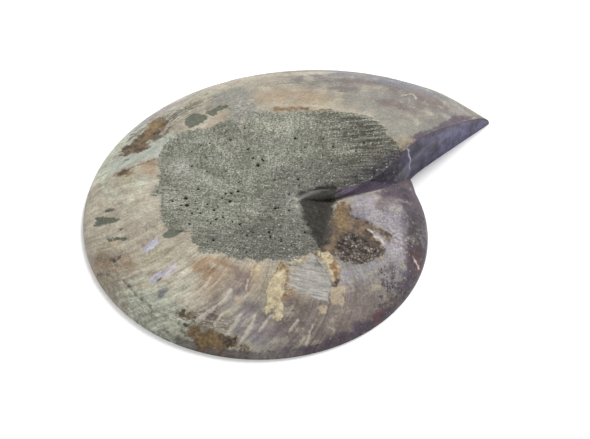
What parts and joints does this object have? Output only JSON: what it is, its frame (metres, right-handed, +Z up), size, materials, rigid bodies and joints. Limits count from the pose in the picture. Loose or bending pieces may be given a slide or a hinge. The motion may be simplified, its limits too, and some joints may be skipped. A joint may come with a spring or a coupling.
{
  "type": "ammonite fossil",
  "caption": "Coiled fossil shell cut through its middle, one half lying flat on its cut face, with a ground flat, a polished end face and fine ribs.",
  "frame": {"origin": "the foot of the coil's axis on the flat cut face that the half rests on", "axes": "+Z up the coil's axis, away from the cut face; +X to the right and +Y to the back as the aperture's tip points to the right and back; the coil grows clockwise as seen from above"},
  "size_m": [0.1379, 0.1262, 0.017],
  "materials": {
    "stone": "fossil shell with a soft pearly gloss over fine grey-green sandstone, ground and polished on the end face and the cut face"
  },
  "bodies": {
    "root": {"ammonite": "stone"}
  },
  "joints": []
}
